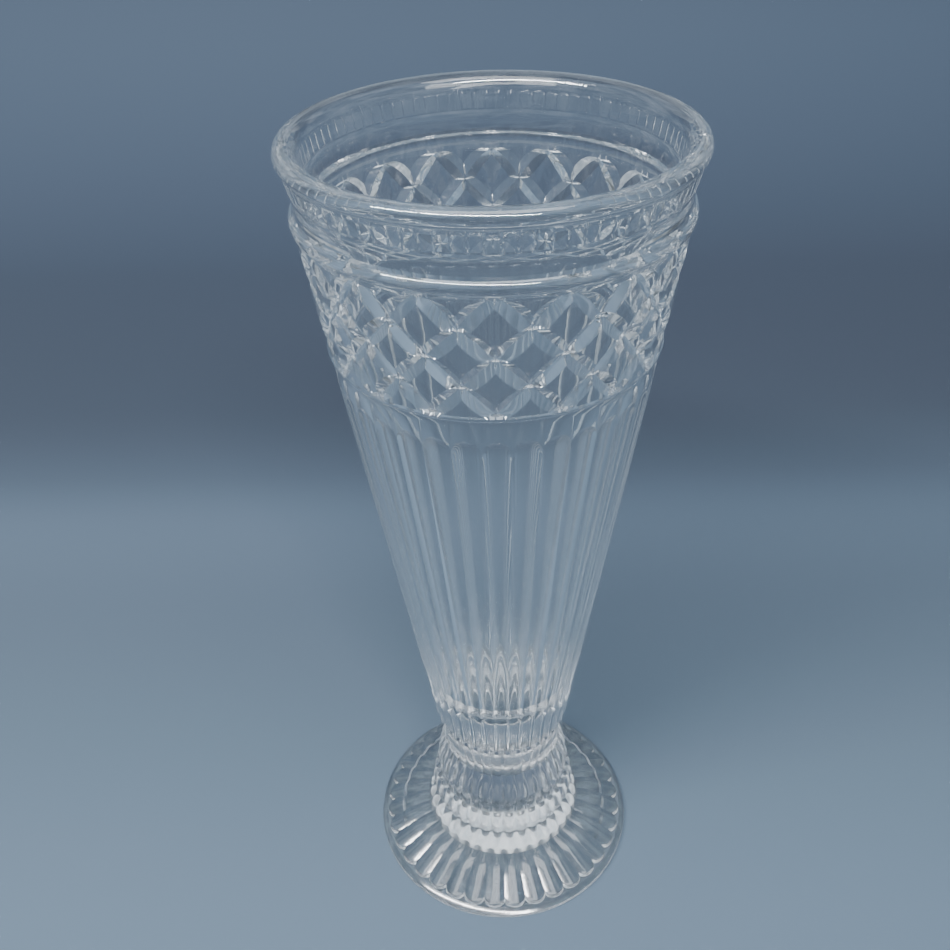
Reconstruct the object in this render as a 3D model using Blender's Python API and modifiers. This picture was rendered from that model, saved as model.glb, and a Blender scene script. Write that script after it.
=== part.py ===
"""A footed trumpet vase in clear crystal glass, in metres, standing on z = 0 with +Z up.

Two cut glass pieces are joined by a thin glass wafer: the bowl, which holds the water, sits on
the stepped foot. Both are turned profiles whose outer walls are then cut with the patterns that
repeat round the axis: diamonds in a band, arched flutes below them and reeds down the foot.
"""

from math import atan2, cos, hypot, pi, radians, sin

import bmesh
import bpy
from mathutils import Vector

# Driving dimensions.
HEIGHT = 0.2988
FOOT_HEIGHT = 0.0674
WAFER_RADIUS = 0.0238
WAFER_THICKNESS = 0.0006
JOINT_GAP = 0.0003
LIP_RADIUS = 0.0586
LIP_CREST_RADIUS = 0.0558
LIP_INNER_RADIUS = 0.0520
LIP_OUTER_DROP = 0.0022
LIP_INNER_DROP = 0.0032
FOOT_RADIUS = 0.0532

# The lattice: rows of groove crossings from under the bead down to the ridge.
DIAMONDS = 18
LATTICE_TOP = 0.2752
LATTICE_BOTTOM = 0.2392
LATTICE_CELLS = 2
GROOVE_DEPTH = 0.0022
BEVEL_SHARE = 0.25
IN_GROOVE = 0.1
BAND_WALL_MIDDLE = 0.0460

# Flutes of the bowl and reeds of the foot share one spacing.
FLUTES = 36
FLUTE_TOP = 0.2305
FLUTE_ARCH = 0.0045
FLUTE_DEPTH_SHARE = 0.022
REED_DEPTH_SHARE = 0.030
FLARE_REED_DEPTH_SHARE = 0.024
FLARE_RADIUS = 0.0320

# Facets round the axis: crossings, groove middles, flute valleys and arrises all fall on one.
SIDES = 72
FRONT = radians(-90)
WAFER_SIDES = 48
SHARP_ANGLE = radians(24)
MERGE = 0.00001

BOWL_BASE = FOOT_HEIGHT + JOINT_GAP + WAFER_THICKNESS + JOINT_GAP
BAND_RADIUS_TOP = 0.0554
BAND_RADIUS_BOTTOM = 0.0503
BODY_RADIUS_TOP = 0.0491
BODY_RADIUS_BOTTOM = 0.0258
BODY_EDGE_RADIUS = 0.0246
BODY_EDGE_HEIGHT = 0.0016


def arc(centre, radii, start, end, steps):
    """Points on an elliptic arc from start to end, in degrees from +X towards +Z."""
    angles = [radians(start + (end - start) * i / steps) for i in range(steps + 1)]
    return [(centre[0] + radii[0] * cos(a), centre[1] + radii[1] * sin(a)) for a in angles]


def line(first, last, steps):
    """Evenly spaced points from first to last, both included."""
    return [
        tuple(a + (b - a) * i / steps for a, b in zip(first, last)) for i in range(steps + 1)
    ]


def collection(name):
    made = bpy.data.collections.new(name)
    bpy.context.scene.collection.children.link(made)
    return made


def crystal(name, colour):
    """Clear colourless lead crystal, polished."""
    material = bpy.data.materials.new(name)
    material.use_nodes = True
    shader = material.node_tree.nodes["Principled BSDF"]
    shader.inputs["Base Color"].default_value = (*colour, 1.0)
    shader.inputs["Roughness"].default_value = 0.03
    shader.inputs["Metallic"].default_value = 0.0
    shader.inputs["IOR"].default_value = 1.54
    shader.inputs["Transmission Weight"].default_value = 1.0
    material.diffuse_color = (*colour, 0.5)
    return material


def turned(name, profile, material, home):
    """A profile of (radius, height) points turned round the axis and stored as a plain mesh."""
    mesh = bpy.data.meshes.new(name + "_profile")
    points = [(radius, 0.0, height) for radius, height in profile]
    mesh.from_pydata(points, [(i, i + 1) for i in range(len(points) - 1)], [])
    lathe = bpy.data.objects.new(name + "_lathe", mesh)
    bpy.context.scene.collection.objects.link(lathe)
    screw = lathe.modifiers.new("turn", "SCREW")
    screw.axis = "Z"
    screw.steps = SIDES
    screw.render_steps = SIDES
    screw.use_merge_vertices = True
    screw.merge_threshold = MERGE
    bpy.context.view_layer.update()
    evaluated = lathe.evaluated_get(bpy.context.evaluated_depsgraph_get())
    solid = bpy.data.objects.new(name, bpy.data.meshes.new_from_object(evaluated))
    solid.data.name = name
    home.objects.link(solid)
    bpy.data.objects.remove(lathe)
    solid.data.materials.clear()
    solid.data.materials.append(material)
    return solid


def inward_normals(profile):
    """For each profile point, the unit direction into the glass, keyed by the rounded point."""
    found = {}
    for i, point in enumerate(profile):
        before = Vector(profile[max(i - 1, 0)])
        after = Vector(profile[min(i + 1, len(profile) - 1)])
        along = (after - before).normalized()
        found[key(*point)] = Vector((along.y, -along.x))
    return found


def key(radius, height):
    return round(radius, 5), round(height, 5)


def cut(solid, outline, depth_at):
    """Sinks the outline's vertices into the glass by depth_at(angle, radius, height)."""
    inward = inward_normals(outline)
    for vertex in solid.data.vertices:
        radius = hypot(vertex.co.x, vertex.co.y)
        direction = inward.get(key(radius, vertex.co.z))
        if direction is None:
            continue
        angle = atan2(vertex.co.y, vertex.co.x)
        depth = depth_at(angle - FRONT, radius, vertex.co.z)
        sunk = radius + direction.x * depth
        vertex.co = (sunk * cos(angle), sunk * sin(angle), vertex.co.z + direction.y * depth)


def flute(angle):
    """1 in the valley of a hollow flute and 0 on the sharp arris between two."""
    return abs(cos(angle * FLUTES / 2))


def reed(angle):
    """0 on the round crest of a reed and 1 in the sharp groove between two."""
    return 1 - abs(sin(angle * FLUTES / 2))


def lattice(angle, height):
    """0 in a groove of the diamond lattice, rising over the bevel to 1 on a flat centre."""
    across = angle * DIAMONDS / (2 * pi)
    down = LATTICE_CELLS * (LATTICE_TOP - height) / (LATTICE_TOP - LATTICE_BOTTOM)
    off = [abs(value - round(value)) for value in (across + down, across - down)]
    return min(min(off) / BEVEL_SHARE, 1.0)


def bowl_outline():
    """The bowl's outer side from the top of the lip down to the edge of its base."""
    lip_centre = (LIP_CREST_RADIUS, HEIGHT - LIP_OUTER_DROP)
    outline = arc(lip_centre, (LIP_RADIUS - LIP_CREST_RADIUS, LIP_OUTER_DROP), 90, 0, 4)
    outline += [(0.0583, 0.2956), (0.0574, 0.2944)]
    outline += [(0.0571, 0.2928), (0.0555, 0.2862)]
    outline += [(0.0551, 0.2852), (0.0555, 0.2818)]
    outline += arc((0.0550, 0.2783), (0.0014, 0.0014), 50, -75, 4)
    band = line((BAND_RADIUS_TOP, LATTICE_TOP), (BAND_RADIUS_BOTTOM, LATTICE_BOTTOM), 8)
    outline += band
    outline += [(0.0504, 0.2382), (0.0500, 0.2368)]
    outline += [(BODY_RADIUS_TOP, FLUTE_TOP)]
    slope = (BODY_RADIUS_TOP - BODY_RADIUS_BOTTOM) / (FLUTE_TOP - BOWL_BASE)
    arch_end = FLUTE_TOP - FLUTE_ARCH
    body = line(
        (BODY_RADIUS_TOP - slope * FLUTE_ARCH, arch_end),
        (BODY_RADIUS_BOTTOM + slope * BODY_EDGE_HEIGHT, BOWL_BASE + BODY_EDGE_HEIGHT),
        5,
    )
    return outline + body + [(BODY_EDGE_RADIUS, BOWL_BASE)]


def bowl_depth(angle, radius, height):
    if LATTICE_BOTTOM - MERGE <= height <= LATTICE_TOP + MERGE:
        return GROOVE_DEPTH * (1 - lattice(angle, height))
    if height < FLUTE_TOP - MERGE and radius > BODY_EDGE_RADIUS + MERGE:
        return FLUTE_DEPTH_SHARE * radius * flute(angle)
    return 0.0


def bowl_inside():
    """The smooth inside, from the middle of the floor out and up to the lip."""
    floor = [(0.0, 0.0790), (0.0080, 0.0792), (0.0155, 0.0802), (0.0200, 0.0834)]
    lip_foot = HEIGHT - LIP_INNER_DROP
    wall = line((0.0220, 0.0880), (LIP_INNER_RADIUS, lip_foot), 6)
    lip_width = LIP_CREST_RADIUS - LIP_INNER_RADIUS
    lip = arc((LIP_CREST_RADIUS, lip_foot), (lip_width, LIP_INNER_DROP), 180, 90, 4)
    return floor + wall + lip[1:-1]


def split_along_grooves(solid):
    """Divides the band's quads along the grooves, so each groove is one straight fold."""
    slack = GROOVE_DEPTH / 4
    lowest, highest = LATTICE_BOTTOM - slack, LATTICE_TOP + slack
    mesh = bmesh.new()
    mesh.from_mesh(solid.data)
    for face in list(mesh.faces):
        corners = list(face.verts)
        heights = [vertex.co.z for vertex in corners]
        in_band = lowest < min(heights) and max(heights) < highest
        outside = min(hypot(*vertex.co.xy) for vertex in corners) > BAND_WALL_MIDDLE
        if len(corners) != 4 or not in_band or not outside:
            continue
        raised = []
        for vertex in corners:
            angle = atan2(vertex.co.y, vertex.co.x) - FRONT
            raised.append(lattice(angle, vertex.co.z))
        for i in (0, 1):
            if max(raised[i], raised[i + 2]) < IN_GROOVE:
                bmesh.utils.face_split(face, corners[i], corners[i + 2])
                break
    mesh.to_mesh(solid.data)
    mesh.free()


def bowl(home):
    outline = bowl_outline()
    profile = bowl_inside() + outline + [(0.0, BOWL_BASE)]
    solid = turned("bowl", profile, crystal("bowl_crystal", (0.90, 0.94, 0.96)), home)
    cut(solid, outline, bowl_depth)
    split_along_grooves(solid)
    return solid


def foot_outline():
    """The foot's outer side: neck, two tiers of beads, a ring, then the flare to its edge."""
    neck = [(0.0246, 0.0664), (0.0239, 0.0625), (0.0233, 0.0570), (0.0233, 0.0515)]
    upper_tier = [(0.0242, 0.0492), (0.0253, 0.0450), (0.0263, 0.0390), (0.0266, 0.0345)]
    lower_tier = [(0.0266, 0.0318), (0.0282, 0.0302), (0.0293, 0.0262), (0.0292, 0.0225)]
    ring = [(0.0283, 0.0203), (0.0296, 0.0190), (0.0309, 0.0164), (0.0315, 0.0134)]
    flare = [(0.0322, 0.0122), (0.0362, 0.0113)]
    flare += line((0.0396, 0.0100), (0.0498, 0.0050), 3)
    flare += [(0.0507, 0.0041)]
    return neck + upper_tier + lower_tier + ring + flare


def foot_depth(angle, radius, height):
    share = REED_DEPTH_SHARE if radius < FLARE_RADIUS else FLARE_REED_DEPTH_SHARE
    return share * radius * reed(angle)


def foot(home):
    """The foot is solid, and only a shallow recess lifts its middle off the table."""
    outline = foot_outline()
    top = [(0.0, FOOT_HEIGHT), (0.0236, FOOT_HEIGHT)]
    disc = [(0.0505, 0.0031), (FOOT_RADIUS - 0.0006, 0.0031)]
    disc += [(FOOT_RADIUS, 0.0025), (FOOT_RADIUS, 0.0005), (FOOT_RADIUS - 0.0005, 0.0)]
    under = [(0.0430, 0.0), (0.0418, 0.0012), (0.0250, 0.0024), (0.0, 0.0027)]
    profile = top + outline + disc + under
    solid = turned("foot", profile, crystal("foot_crystal", (0.90, 0.94, 0.96)), home)
    cut(solid, outline, foot_depth)
    return solid


def wafer(home):
    """The wafer of glass that joins the bowl to the foot."""
    bpy.ops.mesh.primitive_cylinder_add(
        vertices=WAFER_SIDES,
        radius=WAFER_RADIUS,
        depth=WAFER_THICKNESS,
        location=(0, 0, FOOT_HEIGHT + JOINT_GAP + WAFER_THICKNESS / 2),
    )
    solid = bpy.context.object
    solid.name = "wafer"
    solid.data.name = "wafer"
    for group in list(solid.users_collection):
        group.objects.unlink(solid)
    home.objects.link(solid)
    solid.data.materials.append(crystal("wafer_crystal", (0.88, 0.92, 0.94)))
    return solid


def face_outwards(solid):
    """Points every face out of the glass and shades the round stretches smooth."""
    mesh = bmesh.new()
    mesh.from_mesh(solid.data)
    bmesh.ops.remove_doubles(mesh, verts=mesh.verts, dist=MERGE)
    bmesh.ops.recalc_face_normals(mesh, faces=mesh.faces)
    for face in mesh.faces:
        face.smooth = True
    mesh.to_mesh(solid.data)
    mesh.free()
    solid.data.set_sharp_from_angle(angle=SHARP_ANGLE)


def main():
    for old in list(bpy.data.objects):
        bpy.data.objects.remove(old)
    home = collection("crystal_vase")
    for solid in (bowl(home), wafer(home), foot(home)):
        face_outwards(solid)


main()
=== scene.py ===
"""The looks of a footed trumpet vase in clear cut crystal, in metres, built round its CAD frame.

Three pieces of glass stand for the three CAD nodes: the bowl, the wafer under it and the foot.
Each is a skin laid ring by ring round the axis, with every cut modelled as real facets. The
skins are open at the wafer's two joints, where the real glass is fused. Their edges meet there,
so that light passes as through one piece of glass.
"""

from math import cos, pi, radians, sin

import bmesh
import bpy
import numpy as np
from mathutils import Matrix, Vector


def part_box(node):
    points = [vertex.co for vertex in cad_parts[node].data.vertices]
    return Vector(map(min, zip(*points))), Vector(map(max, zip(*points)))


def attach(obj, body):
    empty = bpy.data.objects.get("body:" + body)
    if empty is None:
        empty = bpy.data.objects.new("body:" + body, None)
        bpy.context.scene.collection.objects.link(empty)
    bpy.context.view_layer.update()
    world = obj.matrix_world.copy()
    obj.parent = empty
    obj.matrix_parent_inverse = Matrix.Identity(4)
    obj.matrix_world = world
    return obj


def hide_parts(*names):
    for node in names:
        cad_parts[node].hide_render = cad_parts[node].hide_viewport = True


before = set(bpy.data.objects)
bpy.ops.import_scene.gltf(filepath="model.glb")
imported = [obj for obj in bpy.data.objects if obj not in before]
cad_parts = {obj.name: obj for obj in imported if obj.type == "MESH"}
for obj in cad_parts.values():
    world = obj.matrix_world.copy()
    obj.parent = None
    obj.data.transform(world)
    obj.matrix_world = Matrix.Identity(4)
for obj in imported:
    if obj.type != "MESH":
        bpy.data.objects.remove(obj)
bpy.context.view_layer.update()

# Sizes that the frame gives.
BOWL_LOW, BOWL_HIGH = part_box("bowl")
WAFER_LOW, WAFER_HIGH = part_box("wafer")
FOOT_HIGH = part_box("foot")[1]
TOP = BOWL_HIGH.z
BOWL_BASE = BOWL_LOW.z
LIP_RADIUS = BOWL_HIGH.x
FOOT_RADIUS = FOOT_HIGH.x
FOOT_TOP = FOOT_HIGH.z

# The seams where two skins meet, each in the middle of a joint's gap in the CAD.
WAFER_BULGE = 0.0003
UPPER_SEAM = (BOWL_BASE + WAFER_HIGH.z) / 2
LOWER_SEAM = (WAFER_LOW.z + FOOT_TOP) / 2
SEAM_RADIUS = WAFER_HIGH.x - WAFER_BULGE

# Columns of facets round the axis; the front is a column, and the pattern starts there.
COLUMNS = 720
INNER_COLUMNS = 360
FRONT = radians(-90)

# Profiles are points of (radius, height). The inside of the bowl, from its floor to the lip.
FLOOR_HEIGHT = 0.0780
FLOOR_STEPS = 4
FLOOR = (
    (0.0004, 0.0780),
    (0.0060, 0.0784),
    (0.0120, 0.0804),
    (0.0168, 0.0838),
    (0.0203, 0.0885),
    (0.0229, 0.0950),
)
WALL_STEPS = 8

# The lip and the band of short flutes under it.
LIP_CREST_RADIUS = 0.0560
LIP_INNER_RADIUS = 0.0520
LIP_OUTER_DROP = 0.0029
LIP_INNER_DROP = 0.0045
LIP_STEPS = 9
UNDER_LIP = ((0.0586, 0.2959), (0.0583, 0.2950), (0.0575, 0.2941), (0.05715, 0.2933))
SHORT_FLUTES = 90
SHORT_FLUTE_DEPTH = 0.00013
SHORT_FLUTE_ARCH = 0.0007
SHORT_FLUTE_TOP = (0.0571, 0.2928)
SHORT_FLUTE_BOTTOM = (0.0557, 0.2873)
SHORT_FLUTE_WALL = 4  # how steeply a flute's sides fall to its flat window
SHORT_FLUTE_ROWS = ((0, 0), (0.1, 1), (0.5, 1), (0.9, 1), (1, 0))  # share of length, of depth

# The ledge and the bead between the short flutes and the diamonds.
LEDGE = ((0.0555, 0.2867), (0.0552, 0.2856), (0.0551, 0.2838), (0.0552, 0.2816))
BEAD_CENTRE = (0.0537, 0.2783)
BEAD_RADIUS = 0.0029
BEAD_STEPS = 8
BEAD_FOOT = (0.0558, 0.2766)

# The diamond lattice: its rows of crossings run from under the bead down to the ridge.
DIAMONDS = 18
LATTICE_TOP = 0.2752
LATTICE_BOTTOM = 0.2392
LATTICE_ROWS = 2
BAND_RADIUS_TOP = 0.0554
BAND_RADIUS_BOTTOM = 0.0503
CELL_STEPS = 22
BEVEL_STEPS = 7
BEVEL_NARROW = 0.035
BEVEL_WIDE = 0.215
GROOVE_DEPTH = 0.0017
ARCH_PULL = 0.65
RIDGE = ((0.0505, 0.2387), (0.0504, 0.2380), (0.0499, 0.2372), (0.0496, 0.2355))

# The long flutes of the bowl, and the reeds of the foot, which share their spacing.
FLUTES = 36
FLUTE_TOP = 0.2305
FLUTE_ARCH = 0.0048
FLUTE_DEPTH_SHARE = 0.024
FLUTE_ONSET = 0.026  # the share of its length in which a flute reaches its full depth
FLUTE_ROWS = (
    (0, 0.003, 0.007, 0.012, 0.018, FLUTE_ONSET)
    + (0.04, 0.07, 0.12, 0.2, 0.3, 0.42, 0.55, 0.7, 0.85, 1)
)
BODY_RADIUS_TOP = 0.0491
BODY_RADIUS_BOTTOM = 0.0258
BODY_EDGE_RADIUS = 0.0246
BODY_EDGE_HEIGHT = 0.0016

# The foot, from its top down: four reeded tiers, each with its steps, and the start of the flare.
FOOT_TOP_RADIUS = 0.0239
REED_DEPTH_SHARE = 0.048
REED_END_SHARE = 0.5
TIERS = (
    (((0.0246, 0.0664), (0.0239, 0.0625), (0.0233, 0.0570), (0.0233, 0.0515)), 3),
    (((0.0242, 0.0492), (0.0259, 0.0450), (0.0269, 0.0400), (0.0265, 0.0345)), 4),
    (((0.0266, 0.0318), (0.0282, 0.0302), (0.0293, 0.0262), (0.0292, 0.0225)), 4),
    (((0.0283, 0.0203), (0.0296, 0.0190), (0.0309, 0.0164), (0.0315, 0.0134)), 4),
)
FLARE_START = ((0.0322, 0.0122), (0.0362, 0.0113), (0.0396, 0.0100))
FLARE_START_STEPS = 3

# The flare's straight part, whose reeds end in round lobes on the disc.
FLARE_END = (0.0498, 0.0050)
FLARE_REED_DEPTH_SHARE = 0.019
FLARE_CUT_IN, FLARE_CUT_DOWN = 0.44, 0.9  # the way a groove is cut, at right angles to the slope
FLARE_ROWS = (0.12, 0.3, 0.5, 0.7, 0.85, 0.95, 1)
LOBE_RADIUS = 0.0507
LOBE_ARCH = 0.0032
LOBE_ROUNDING = ((0.45, 0.12), (0.8, 0.45), (1, 0.8), (1.02, 1))  # share of the way out, down

# The plain disc and its edge, and the recess underneath.
DISC_TOP = 0.0032
SHOULDER_RADIUS = LOBE_RADIUS + 0.0003
DISC_EDGE = (FOOT_RADIUS - 0.0002, 0.0019)
DISC_CROWN = 0.00006  # how far the disc's middle stands above a straight slope
EDGE_HEIGHT = 0.0015
EDGE_ROUND = 0.0006
RESTING_RADIUS = 0.0430
RECESS = ((0.0418, 0.0012), (0.0250, 0.0024), (0.0020, 0.0027))
RECESS_HEIGHT = 0.0027

SHARP_ANGLE = radians(10.5)
FLOOR_GAP = 0.0004

# Lead crystal, and how dull each piece gets at most.
CRYSTAL_IOR = 1.545
CRYSTAL_TINT = (0.96, 0.985, 0.99)
DULLEST = {"bowl": 0.015, "wafer": 0.05, "foot": 0.17}
POLISH_SCALE = 60.0
WAVE_SCALE = 140.0
WAVE_STRENGTH = 0.12
WAVE_HEIGHT = 0.0002

# The paper's colour by the distance along it, from near the camera to the top of the wall: a
# blue-grey with painted light and shade, in lighter and darker bands, darkest on the floor behind
# the vase.
PAPER_ROUGHNESS = 0.85
PAPER_TONE_AND_PAINTED_SHADE = (
    (-0.05, (0.038, 0.061, 0.090)),
    (0.03, (0.032, 0.052, 0.076)),
    (0.13, (0.024, 0.038, 0.058)),
    (0.20, (0.034, 0.054, 0.082)),
    (0.25, (0.0175, 0.029, 0.047)),
    (0.33, (0.0080, 0.0145, 0.027)),
    (0.59, (0.0130, 0.0215, 0.039)),
    (0.95, (0.0215, 0.037, 0.062)),
)

# The sheet of paper: half its width, where it starts and bends, the bend's radius, the wall.
PAPER_HALF_WIDTH = 0.9
PAPER_NEAR = -0.9
BEND_START = 0.55
BEND_RADIUS = 0.35
BEND_STEPS = 24
WALL_HEIGHT = 0.55

# Lamps: name, place, size and power in watts. The sky is brighter overhead, and uneven.
LAMPS = (
    ("tube", (-0.38, -0.95, 1.35), (2.2, 0.12), 130.0),
    ("panel", (0.0, -0.5, 1.55), (1.4, 0.5), 16.0),
)
LAMP_TARGET = (0.0, 0.0, 0.15)
SKY_COLOUR = (0.80, 0.91, 1.0)
SKY_LOW, SKY_LOW_STRENGTH = 0.1, 0.42
SKY_HIGH, SKY_HIGH_STRENGTH = 1.0, 1.4
SKY_PATCH_SCALE = 3.2
SKY_PATCH_NOISE = (0.40, 0.60)
SKY_PATCH_STRENGTH = (0.30, 1.60)
GLASS_BOUNCES = 48  # light goes round inside the glass many times before it leaves

# The photograph's own view, in radians, metres and millimetres of lens.
CAMERA_PITCH, CAMERA_ROLL, CAMERA_YAW = 0.6402, -0.0331, -0.0259
CAMERA_PLACE = (0.0, -0.26795, 0.38273)
CAMERA_LENS = 37.673
CAMERA_SHIFT = (-0.00174, 0.00046)


# ---- Profiles and patterns --------------------------------------------------------------------


def angles(columns):
    """The angle of each column from the front, going round once."""
    return np.arange(columns) * 2 * pi / columns


def arc(centre, radii, start, end, steps):
    """Points on an elliptic arc from start to end, in degrees from +X towards +Z."""
    turns = [radians(start + (end - start) * i / steps) for i in range(steps + 1)]
    return [(centre[0] + radii[0] * cos(t), centre[1] + radii[1] * sin(t)) for t in turns]


def line(first, last, steps):
    """Evenly spaced points from first to last, both included."""
    return [
        tuple(a + (b - a) * i / steps for a, b in zip(first, last)) for i in range(steps + 1)
    ]


def curve(points, steps):
    """A smooth curve through the points, with that many steps between each two."""
    points = [np.array(p) for p in points]
    ends = [2 * points[0] - points[1]] + points + [2 * points[-1] - points[-2]]
    found = []
    for before, first, second, after in zip(ends, ends[1:], ends[2:], ends[3:]):
        for i in range(steps):
            t = i / steps
            bend = 2 * first + (second - before) * t
            bend = bend + (2 * before - 5 * first + 4 * second - after) * t**2
            bend = bend + (3 * first - before - 3 * second + after) * t**3
            found.append(tuple(bend / 2))
    return found + [tuple(points[-1])]


def saw(turn, count):
    """How far each angle is from the middle of its own cut, from -1 to 1 across the cut."""
    share = turn * count / (2 * pi)
    return 2 * (share - np.round(share))


def hollow(turn, count):
    """1 in the valley of a hollow flute and 0 on the sharp arris between two."""
    return np.abs(np.cos(turn * count / 2))


def reeded(turn, count):
    """0 on the round crest of a reed and 1 in the sharp groove between two."""
    return 1 - np.abs(np.sin(turn * count / 2))


def arched(across):
    """The drop of a round arch, from 0 at its crown to nearly 1 at its springing."""
    return 1 - np.sqrt(1 - 0.97 * across**2)


class Skin:
    """A surface laid ring by ring, each ring a loop of points that starts at the front."""

    def __init__(self):
        self.points = []
        self.faces = []
        self.count = 0
        self.last = None

    def add(self, points):
        """Stores the points and gives back their numbers."""
        self.points.append(np.asarray(points, float))
        numbers = np.arange(self.count, self.count + len(points))
        self.count += len(points)
        return numbers

    def place(self, turn, radius, height):
        """The numbers of new points at these angles from the front."""
        radius = np.broadcast_to(radius, turn.shape)
        height = np.broadcast_to(height, turn.shape)
        way = turn + FRONT
        return self.add(np.stack([radius * np.cos(way), radius * np.sin(way), height], axis=1))

    def join(self, numbers, turn):
        """Joins a ring to the last one: by quads, or by triangles where the counts differ."""
        if self.last is not None:
            old, old_turn = self.last
            if len(old) == len(numbers):
                quads = [old, np.roll(old, -1), np.roll(numbers, -1), numbers]
                self.faces += np.stack(quads, axis=1).tolist()
            else:
                self.zip(old, old_turn, numbers, turn)
        self.last = (numbers, turn)

    def zip(self, old, old_turn, new, new_turn):
        """Fills the strip between two rings of different counts, going round by angle."""
        old_ends = np.append(old_turn, 2 * pi + old_turn[0])
        new_ends = np.append(new_turn, 2 * pi + new_turn[0])
        i = j = 0
        while i < len(old) or j < len(new):
            first, second = old[i % len(old)], new[j % len(new)]
            step_old = j == len(new) or (i < len(old) and old_ends[i + 1] <= new_ends[j + 1])
            if step_old:
                i += 1
                self.faces.append([first, old[i % len(old)], second])
            else:
                j += 1
                self.faces.append([first, new[j % len(new)], second])

    def ring(self, radius, height, columns=COLUMNS):
        """Adds one ring; its radius and its height are numbers, or one for each column."""
        turn = angles(columns)
        self.join(self.place(turn, radius, height), turn)

    def rings(self, profile, columns=COLUMNS):
        """Adds a plain ring for each point of the profile."""
        for radius, height in profile:
            self.ring(radius, height, columns)

    def start_from_tip(self, height, radius, at, columns):
        """Opens the skin with a fan from a point on the axis to a ring at its own height."""
        centre = self.add([(0.0, 0.0, height)])[0]
        turn = angles(columns)
        numbers = self.place(turn, radius, at)
        self.faces += [[centre, b, a] for a, b in zip(numbers, np.roll(numbers, -1))]
        self.last = (numbers, turn)

    def end_in_tip(self, height):
        """Closes the last ring with one point on the axis."""
        centre = self.add([(0.0, 0.0, height)])[0]
        old = self.last[0]
        self.faces += [[a, b, centre] for a, b in zip(old, np.roll(old, -1))]

    def piece(self, name):
        """The skin as an object, its faces out and its sharp edges kept."""
        mesh = bpy.data.meshes.new(name)
        mesh.from_pydata(np.concatenate(self.points).tolist(), [], self.faces)
        mesh.validate()
        work = bmesh.new()
        work.from_mesh(mesh)
        bmesh.ops.recalc_face_normals(work, faces=work.faces)
        for face in work.faces:
            face.smooth = True
        work.to_mesh(mesh)
        work.free()
        mesh.set_sharp_from_angle(angle=SHARP_ANGLE)
        made = bpy.data.objects.new(name, mesh)
        bpy.context.scene.collection.objects.link(made)
        return made


# ---- The diamond band -------------------------------------------------------------------------


def bevel_width(along):
    """The width of a groove's facets: leaf shaped, narrow at the crossings."""
    return BEVEL_NARROW + (BEVEL_WIDE - BEVEL_NARROW) * np.sin(pi * along)


def warped(step, width):
    """Where a step across a cell lies, so that the bevel's edge falls on a step of its own."""
    edge = BEVEL_STEPS / CELL_STEPS
    x = step / CELL_STEPS
    near = np.minimum(x, 1 - x)
    inner = width + (near - edge) * (0.5 - width) / (0.5 - edge)
    place = np.where(near < edge, near * width / edge, inner)
    return np.where(x > 0.5, 1 - place, place)


def bevel_share(step, width):
    """How deep a step across a cell lies in the groove beside it: 1 in its bottom, 0 off it."""
    return max(0.0, 1 - min(step, CELL_STEPS - step) / BEVEL_STEPS) * width / BEVEL_WIDE


def band_point(u, v, sunk):
    """The angle, radius and height of a point of the band, in steps of the two groove families."""
    across = (u + v) / 2
    down = (u - v) / 2
    down = np.where(down < 0.5, down - ARCH_PULL * down * (1 - 2 * down), down)
    share = down / LATTICE_ROWS
    height = LATTICE_TOP + (LATTICE_BOTTOM - LATTICE_TOP) * share
    radius = BAND_RADIUS_TOP + (BAND_RADIUS_BOTTOM - BAND_RADIUS_TOP) * share
    tilt = (BAND_RADIUS_TOP - BAND_RADIUS_BOTTOM) / (LATTICE_TOP - LATTICE_BOTTOM)
    return across * 2 * pi / DIAMONDS, radius - sunk, height + tilt * sunk


def cell_point(i, j, s, t):
    """A point of the cell (i, j), at step s along it and t across it, and its angle."""
    wide, high = bevel_width(t / CELL_STEPS), bevel_width(s / CELL_STEPS)
    sunk = GROOVE_DEPTH * max(bevel_share(s, wide), bevel_share(t, high))
    turn, radius, height = band_point(i + warped(s, wide), j + warped(t, high), sunk)
    way = float(turn) + FRONT
    return (radius * cos(way), radius * sin(way), height), float(turn) % (2 * pi)


def halves(s, t):
    """A small quad of a cell as two triangles, folded along the mitre from the crossing."""
    a, b, c, d = (s, t), (s + 1, t), (s + 1, t + 1), (s, t + 1)
    if (s < CELL_STEPS / 2) == (t < CELL_STEPS / 2):
        return (a, b, c), (a, c, d)
    return (a, b, d), (b, c, d)


def diamond_band(skin):
    """Adds the lattice between two rings of its own and leaves the lower one as the last.

    The cells lie slantwise, and the top and bottom rows are halved along their diagonals.
    """
    numbers, points, turns = {}, [], []
    period = DIAMONDS * CELL_STEPS

    def vertex(i, j, s, t):
        """The number of a cell's point, which is shared with the cells beside it."""
        row, column = i * CELL_STEPS + s, j * CELL_STEPS + t
        rounds = column // period
        key = (row - rounds * period, column - rounds * period)
        if key not in numbers:
            numbers[key] = len(points)
            point, turn = cell_point(i, j, s, t)
            points.append(point)
            turns.append(turn)
        return numbers[key]

    faces = []
    last_row = 2 * LATTICE_ROWS
    edges = {0: [], last_row: []}
    for row in range(last_row + 1):
        for j in range(DIAMONDS):
            i = j + row
            for s in range(CELL_STEPS):
                for t in range(CELL_STEPS):
                    for half in halves(s, t):
                        below = sum(p[0] - p[1] for p in half)
                        if (row == 0 and below < 0) or (row == last_row and below > 0):
                            continue
                        faces.append([vertex(i, j, *p) for p in half])
            if row in edges:
                edges[row] += [vertex(i, j, k, k) for k in range(CELL_STEPS)]

    base = skin.add(points)[0]
    turns = np.array(turns)
    turns[turns > 2 * pi - 1e-6] = 0
    upper, lower = (np.array(ring)[np.argsort(turns[ring])] for ring in edges.values())
    skin.join(upper + base, turns[upper])
    skin.last = (lower + base, turns[lower])
    skin.faces += [[a + base, b + base, c + base] for a, b, c in faces]


# ---- The three pieces -------------------------------------------------------------------------


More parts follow.
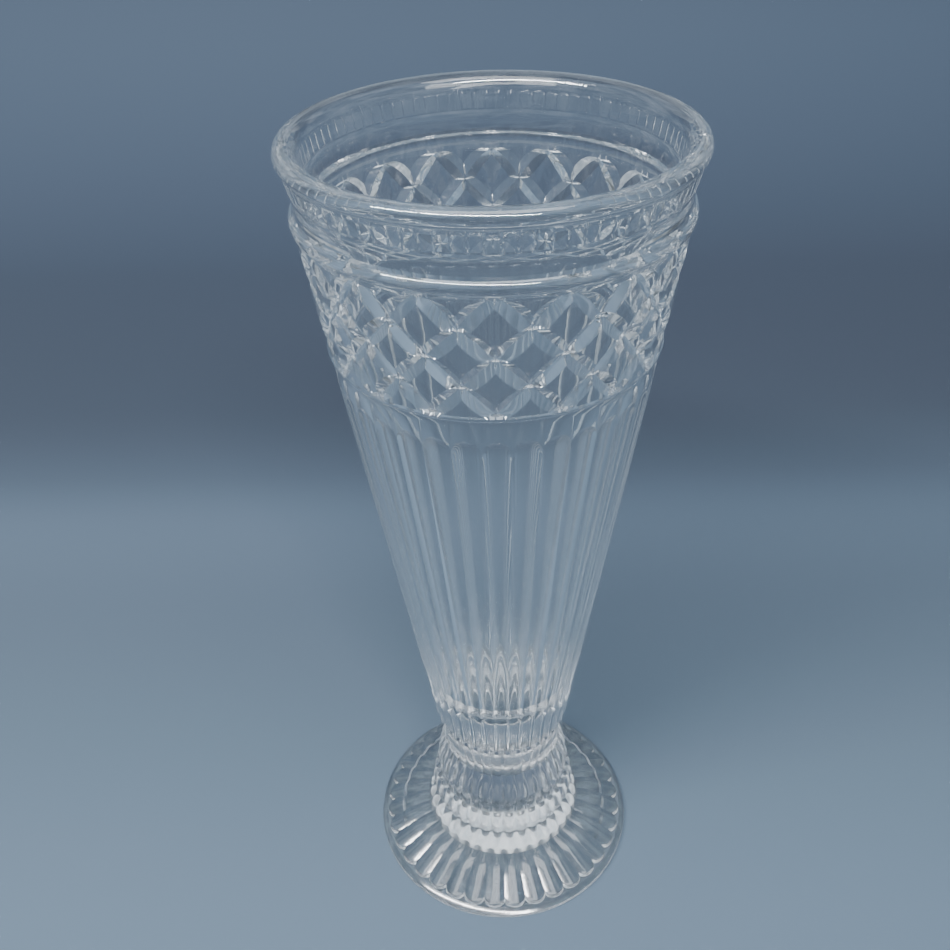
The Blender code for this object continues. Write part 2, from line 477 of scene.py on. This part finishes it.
def short_flutes(skin):
    """A row of short flutes with flat windows and arched tops."""
    across = np.abs(saw(angles(COLUMNS), SHORT_FLUTES))
    pit = SHORT_FLUTE_DEPTH * np.clip((1 - across) * SHORT_FLUTE_WALL, 0, 1)
    crown = SHORT_FLUTE_ARCH * across**4
    (top_radius, top), (bottom_radius, bottom) = SHORT_FLUTE_TOP, SHORT_FLUTE_BOTTOM
    length = top - bottom
    for share, depth in SHORT_FLUTE_ROWS:
        height = top - crown - (length - crown) * share
        radius = bottom_radius + (top_radius - bottom_radius) * (height - bottom) / length
        skin.ring(radius - pit * depth, height)


def long_flutes(skin):
    """Hollow flutes with arched tops, running all the way down the straight body."""
    turn = angles(COLUMNS)
    slope = (BODY_RADIUS_TOP - BODY_RADIUS_BOTTOM) / (FLUTE_TOP - BOWL_BASE)
    top = FLUTE_TOP - FLUTE_ARCH * arched(saw(turn, FLUTES))
    end = BOWL_BASE + BODY_EDGE_HEIGHT
    for share in FLUTE_ROWS:
        height = top + (end - top) * share
        plain = BODY_RADIUS_BOTTOM + slope * (height - BOWL_BASE)
        growth = sin(min(share / FLUTE_ONSET, 1) * pi / 2)
        skin.ring(plain * (1 - FLUTE_DEPTH_SHARE * hollow(turn, FLUTES) * growth), height)


def bowl():
    """The vessel: up its inside, over the lip and down its outside to the upper seam."""
    skin = Skin()
    floor = curve(FLOOR, FLOOR_STEPS)
    skin.start_from_tip(FLOOR_HEIGHT, *floor[0], INNER_COLUMNS)
    skin.rings(floor[1:], INNER_COLUMNS)
    lip_foot = TOP - LIP_INNER_DROP
    skin.rings(line(floor[-1], (LIP_INNER_RADIUS, lip_foot), WALL_STEPS)[1:], INNER_COLUMNS)
    inner_radii = (LIP_CREST_RADIUS - LIP_INNER_RADIUS, LIP_INNER_DROP)
    inner_lip = arc((LIP_CREST_RADIUS, lip_foot), inner_radii, 180, 90, LIP_STEPS)
    skin.rings(inner_lip[1:-1], INNER_COLUMNS)
    outer_centre = (LIP_CREST_RADIUS, TOP - LIP_OUTER_DROP)
    outer_radii = (LIP_RADIUS - LIP_CREST_RADIUS, LIP_OUTER_DROP)
    skin.rings(arc(outer_centre, outer_radii, 90, 0, LIP_STEPS))
    skin.rings(curve(UNDER_LIP, 3)[1:])
    short_flutes(skin)
    skin.rings(curve(LEDGE, 2))
    skin.rings(arc(BEAD_CENTRE, (BEAD_RADIUS, BEAD_RADIUS), 52, -20, BEAD_STEPS))
    skin.ring(*BEAD_FOOT)
    diamond_band(skin)
    skin.rings(curve(RIDGE, 3))
    long_flutes(skin)
    skin.ring(BODY_EDGE_RADIUS, BOWL_BASE)
    skin.ring(SEAM_RADIUS, UPPER_SEAM)
    return skin.piece("bowl_glass")


def wafer():
    """The band of glass that shows between the two seams."""
    skin = Skin()
    middle = (UPPER_SEAM + LOWER_SEAM) / 2
    half = (UPPER_SEAM - LOWER_SEAM) / 2
    bulge = WAFER_HIGH.x - SEAM_RADIUS
    skin.rings(arc((SEAM_RADIUS, middle), (bulge, half), 90, -90, 8))
    return skin.piece("wafer_glass")


def reeds(skin, profile, share, end_share):
    """Rings of convex reeds that follow the profile, cut at right angles to it.

    At both ends of the profile the reeds are end_share as deep as in its middle.
    """
    cut = reeded(angles(COLUMNS), FLUTES)
    for i, (radius, height) in enumerate(profile):
        before = Vector(profile[max(i - 1, 0)])
        along = (Vector(profile[min(i + 1, len(profile) - 1)]) - before).normalized()
        fade = end_share + (1 - end_share) * sin(pi * (i + 1) / (len(profile) + 1))
        depth = share * radius * cut * fade
        skin.ring(radius + along.y * depth, height - along.x * depth)


def flare(skin):
    """The flare of the foot: its reeds widen and end in round lobes on the plain disc."""
    turn = angles(COLUMNS)
    cut = reeded(turn, FLUTES)
    lobe = LOBE_RADIUS - LOBE_ARCH * arched(saw(turn + pi / FLUTES, FLUTES))
    start, end = FLARE_START[-1], FLARE_END
    drop = (start[1] - end[1]) / (end[0] - start[0])
    rim = LOBE_RADIUS - end[0]
    for share in FLARE_ROWS:
        radius = start[0] + (lobe - rim - start[0]) * share
        height = start[1] - drop * (radius - start[0])
        depth = FLARE_REED_DEPTH_SHARE * radius * cut
        skin.ring(radius - FLARE_CUT_IN * depth, height - FLARE_CUT_DOWN * depth)
    edge_height = height - FLARE_CUT_DOWN * depth
    for out, down in LOBE_ROUNDING:
        skin.ring(radius + rim * out, edge_height + (DISC_TOP - edge_height) * down)
    skin.ring(SHOULDER_RADIUS, DISC_TOP)


def foot():
    """The foot: from the lower seam down its tiers and flare, round its edge and underneath."""
    skin = Skin()
    skin.ring(SEAM_RADIUS, LOWER_SEAM)
    skin.ring(FOOT_TOP_RADIUS, FOOT_TOP)
    for profile, steps in TIERS:
        reeds(skin, curve(profile, steps), REED_DEPTH_SHARE, REED_END_SHARE)
    reeds(skin, curve(FLARE_START, FLARE_START_STEPS), FLARE_REED_DEPTH_SHARE, 1)
    flare(skin)
    shoulder = (SHOULDER_RADIUS, DISC_TOP)
    crown = ((shoulder[0] + DISC_EDGE[0]) / 2, (shoulder[1] + DISC_EDGE[1]) / 2 + DISC_CROWN)
    skin.rings(curve([shoulder, crown, DISC_EDGE], 3)[1:])
    skin.ring(FOOT_RADIUS, EDGE_HEIGHT)
    skin.rings(arc((FOOT_RADIUS - EDGE_ROUND, EDGE_ROUND), (EDGE_ROUND, EDGE_ROUND), 0, -90, 4))
    skin.rings([(RESTING_RADIUS, 0.0)] + curve(RECESS, 6), INNER_COLUMNS)
    skin.end_in_tip(RECESS_HEIGHT)
    return skin.piece("foot_glass")


# ---- Materials --------------------------------------------------------------------------------


def noise(tree, place, scale, detail):
    """The value of a noise texture at a place."""
    node = tree.nodes.new("ShaderNodeTexNoise")
    node.inputs["Scale"].default_value = scale
    node.inputs["Detail"].default_value = detail
    tree.links.new(place, node.inputs["Vector"])
    return node.outputs["Fac"]


def mapped(tree, value, low, high, start=0.0, end=1.0):
    """The value, with low..high stretched to start..end and held there."""
    node = tree.nodes.new("ShaderNodeMapRange")
    node.inputs["From Min"].default_value = low
    node.inputs["From Max"].default_value = high
    node.inputs["To Min"].default_value = start
    node.inputs["To Max"].default_value = end
    tree.links.new(value, node.inputs["Value"])
    return node.outputs["Result"]


def combined(tree, operation, first, second):
    """The sum or the product of two values."""
    node = tree.nodes.new("ShaderNodeMath")
    node.operation = operation
    tree.links.new(first, node.inputs[0])
    tree.links.new(second, node.inputs[1])
    return node.outputs["Value"]


def coordinates(tree, kind):
    """A kind of texture coordinates, and their three numbers."""
    where = tree.nodes.new("ShaderNodeTexCoord").outputs[kind]
    parts = tree.nodes.new("ShaderNodeSeparateXYZ")
    tree.links.new(where, parts.inputs["Vector"])
    return where, parts.outputs


def new_material(name):
    """A new material, its node tree and its shader."""
    material = bpy.data.materials.new(name)
    material.use_nodes = True
    return material, material.node_tree, material.node_tree.nodes["Principled BSDF"]


def crystal(name, dullest):
    """Clear lead crystal: polished, with the faint waviness and uneven polish of hand cutting."""
    material, tree, shader = new_material(name)
    shader.inputs["Transmission Weight"].default_value = 1.0
    shader.inputs["IOR"].default_value = CRYSTAL_IOR
    shader.inputs["Metallic"].default_value = 0.0
    where = tree.nodes.new("ShaderNodeTexCoord").outputs["Object"]
    uneven = noise(tree, where, POLISH_SCALE, 2.0)
    polish = mapped(tree, uneven, 0.0, 1.0, dullest / 2, dullest)
    tree.links.new(polish, shader.inputs["Roughness"])
    shade = tree.nodes.new("ShaderNodeMix")
    shade.data_type = "RGBA"
    shade.inputs["A"].default_value = (*CRYSTAL_TINT, 1.0)
    shade.inputs["B"].default_value = (1.0, 1.0, 1.0, 1.0)
    tree.links.new(uneven, shade.inputs["Factor"])
    tree.links.new(shade.outputs["Result"], shader.inputs["Base Color"])
    bump = tree.nodes.new("ShaderNodeBump")
    bump.inputs["Strength"].default_value = WAVE_STRENGTH
    bump.inputs["Distance"].default_value = WAVE_HEIGHT
    tree.links.new(noise(tree, where, WAVE_SCALE, 1.0), bump.inputs["Height"])
    tree.links.new(bump.outputs["Normal"], shader.inputs["Normal"])
    return material


def paper():
    """The plain sheet under and behind the vase: its blue-grey, with light and shade painted into
    its colour along its length.
    """
    material, tree, shader = new_material("studio_paper")
    shader.inputs["Roughness"].default_value = PAPER_ROUGHNESS
    _, parts = coordinates(tree, "Object")
    start, end = PAPER_TONE_AND_PAINTED_SHADE[0][0], PAPER_TONE_AND_PAINTED_SHADE[-1][0]
    along = mapped(tree, combined(tree, "ADD", parts["Y"], parts["Z"]), start, end)
    # The ramp paints light and shade into the paper: lighter and darker bands along the sheet,
    # darkest behind the vase.
    ramp = tree.nodes.new("ShaderNodeValToRGB")
    ramp.color_ramp.interpolation = "B_SPLINE"
    while len(ramp.color_ramp.elements) < len(PAPER_TONE_AND_PAINTED_SHADE):
        ramp.color_ramp.elements.new(0.5)
    for element, (place, colour) in zip(ramp.color_ramp.elements, PAPER_TONE_AND_PAINTED_SHADE):
        element.position = (place - start) / (end - start)
        element.color = (*colour, 1.0)
    tree.links.new(along, ramp.inputs["Fac"])
    tree.links.new(ramp.outputs["Color"], shader.inputs["Base Color"])
    return material


# ---- The studio -------------------------------------------------------------------------------


def sweep():
    """Floor, round bend and wall in one sheet, well behind the vase."""
    profile = [(PAPER_NEAR, 0.0), (BEND_START, 0.0)]
    for i in range(1, BEND_STEPS + 1):
        turn = radians(90) * i / BEND_STEPS
        profile.append((BEND_START + BEND_RADIUS * sin(turn), BEND_RADIUS * (1 - cos(turn))))
    profile.append((BEND_START + BEND_RADIUS, WALL_HEIGHT))
    points = [(x, y, z) for y, z in profile for x in (-PAPER_HALF_WIDTH, PAPER_HALF_WIDTH)]
    faces = [(2 * i, 2 * i + 1, 2 * i + 3, 2 * i + 2) for i in range(len(profile) - 1)]
    mesh = bpy.data.meshes.new("floor")
    mesh.from_pydata(points, [], faces)
    mesh.materials.append(paper())
    for face in mesh.polygons:
        face.use_smooth = True
    sheet = bpy.data.objects.new("floor", mesh)
    sheet.location.z = -FLOOR_GAP
    bpy.context.scene.collection.objects.link(sheet)


def lamp(name, place, size, power):
    """A soft rectangular light that faces the vase."""
    light = bpy.data.lights.new(name, "AREA")
    light.shape = "RECTANGLE"
    light.size, light.size_y = size
    light.energy = power
    holder = bpy.data.objects.new(name, light)
    holder.location = place
    way = Vector(LAMP_TARGET) - Vector(place)
    holder.rotation_euler = way.to_track_quat("-Z", "Y").to_euler()
    bpy.context.scene.collection.objects.link(holder)


def sky():
    """A soft room round the vase, brighter overhead, with large uneven patches."""
    world = bpy.data.worlds.new("room")
    bpy.context.scene.world = world
    world.use_nodes = True
    tree = world.node_tree
    background = tree.nodes["Background"]
    background.inputs["Color"].default_value = (*SKY_COLOUR, 1.0)
    where, parts = coordinates(tree, "Generated")
    climb = mapped(tree, parts["Z"], SKY_LOW, SKY_HIGH, SKY_LOW_STRENGTH, SKY_HIGH_STRENGTH)
    uneven = noise(tree, where, SKY_PATCH_SCALE, 1.0)
    patches = mapped(tree, uneven, *SKY_PATCH_NOISE, *SKY_PATCH_STRENGTH)
    strength = combined(tree, "MULTIPLY", climb, patches)
    tree.links.new(strength, background.inputs["Strength"])


def studio():
    """The paper, the lamps and the sky, and enough bounces for light inside the glass."""
    sweep()
    for name, place, size, power in LAMPS:
        lamp(name, place, size, power)
    sky()
    light_paths = bpy.context.scene.cycles
    light_paths.max_bounces = GLASS_BOUNCES
    light_paths.glossy_bounces = GLASS_BOUNCES
    light_paths.transmission_bounces = GLASS_BOUNCES


def camera():
    """The photograph's own view: from 0.27 m in front and 0.38 m up, looking down."""
    pitch, roll, yaw = CAMERA_PITCH, CAMERA_ROLL, CAMERA_YAW
    ahead = Vector((sin(yaw) * cos(pitch), cos(yaw) * cos(pitch), -sin(pitch)))
    right = Vector((cos(yaw), -sin(yaw), 0.0))
    up = right.cross(ahead)
    tilted_right = cos(roll) * right + sin(roll) * up
    tilted_up = cos(roll) * up - sin(roll) * right
    lens = bpy.data.cameras.new("camera")
    lens.sensor_width = 36.0
    lens.lens = CAMERA_LENS
    lens.shift_x, lens.shift_y = CAMERA_SHIFT
    lens.clip_start = 0.01
    eye = bpy.data.objects.new("camera", lens)
    turn = Matrix((tilted_right, tilted_up, -ahead)).transposed()
    eye.matrix_world = Matrix.Translation(CAMERA_PLACE) @ turn.to_4x4()
    bpy.context.scene.collection.objects.link(eye)
    bpy.context.scene.camera = eye


def main():
    for piece, node in ((bowl(), "bowl"), (wafer(), "wafer"), (foot(), "foot")):
        piece.data.materials.append(crystal(node + "_crystal", DULLEST[node]))
        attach(piece, "root")
        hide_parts(node)
    studio()
    camera()


main()
